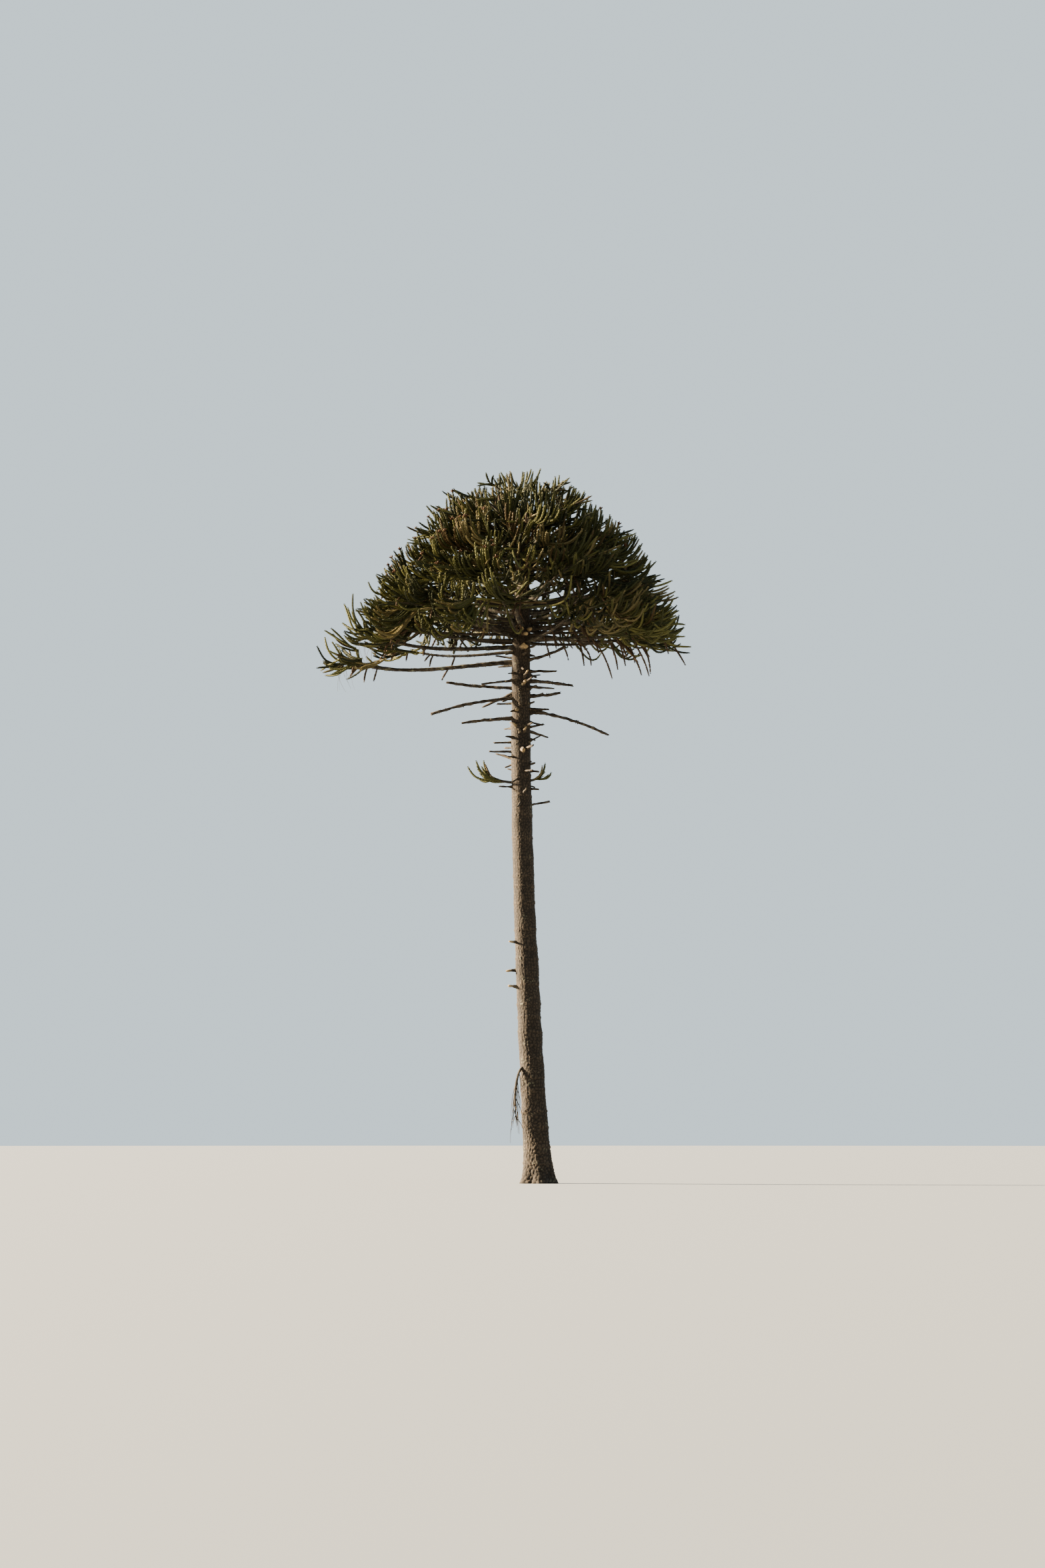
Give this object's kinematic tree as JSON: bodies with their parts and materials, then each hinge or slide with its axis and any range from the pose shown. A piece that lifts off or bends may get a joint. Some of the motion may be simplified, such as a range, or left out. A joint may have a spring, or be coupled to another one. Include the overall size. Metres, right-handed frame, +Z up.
{
  "type": "monkey puzzle tree",
  "caption": "Tall monkey puzzle tree with a bare scarred trunk, dead limbs and a domed umbrella crown of rope-like leafy shoots.",
  "frame": {"origin": "middle of the flat cut under the trunk, at ground level", "axes": "+Z up the tree, +X to the right as the picture is taken, +Y to the back, away from that viewpoint"},
  "size_m": [12.7152, 11.1851, 24.2925],
  "materials": {
    "bark": "rough ringed bark",
    "deadwood": "weathered, scaly",
    "foliage": "waxy, stiff overlapping scales"
  },
  "bodies": {
    "root": {"bough_first_1": "bark", "bough_first_2": "bark", "bough_first_3": "bark", "bough_first_4": "bark", "bough_first_5": "bark", "bough_first_6": "bark", "bough_low_1": "bark", "bough_low_2": "bark", "bough_low_3": "bark", "bough_low_4": "bark", "bough_second_1": "bark", "bough_second_2": "bark", "bough_second_3": "bark", "bough_second_4": "bark", "bough_second_5": "bark", "bough_second_6": "bark", "dead_limb_1": "deadwood", "dead_limb_2": "deadwood", "dead_limb_3": "deadwood", "dead_limb_4": "deadwood", "dead_limb_5": "deadwood", "dead_limb_6": "deadwood", "dead_limb_7": "deadwood", "dead_limb_8": "deadwood", "dead_limb_9": "deadwood", "dead_limb_hanging": "deadwood", "foliage_fifth_1": "foliage", "foliage_fifth_2": "foliage", "foliage_fifth_3": "foliage", "foliage_first_1": "foliage", "foliage_first_2": "foliage", "foliage_first_3": "foliage", "foliage_first_4": "foliage", "foliage_first_5": "foliage", "foliage_first_6": "foliage", "foliage_fourth_1": "foliage", "foliage_fourth_2": "foliage", "foliage_fourth_3": "foliage", "foliage_fourth_4": "foliage", "foliage_fourth_5": "foliage", "foliage_leader": "foliage", "foliage_low_1": "foliage", "foliage_low_2": "foliage", "foliage_low_3": "foliage", "foliage_low_4": "foliage", "foliage_second_1": "foliage", "foliage_second_2": "foliage", "foliage_second_3": "foliage", "foliage_second_4": "foliage", "foliage_second_5": "foliage", "foliage_second_6": "foliage", "foliage_third_1": "foliage", "foliage_third_2": "foliage", "foliage_third_3": "foliage", "foliage_third_4": "foliage", "foliage_third_5": "foliage", "foliage_third_6": "foliage", "sprout_left": "foliage", "sprout_right": "foliage", "trunk": "bark"}
  },
  "joints": []
}
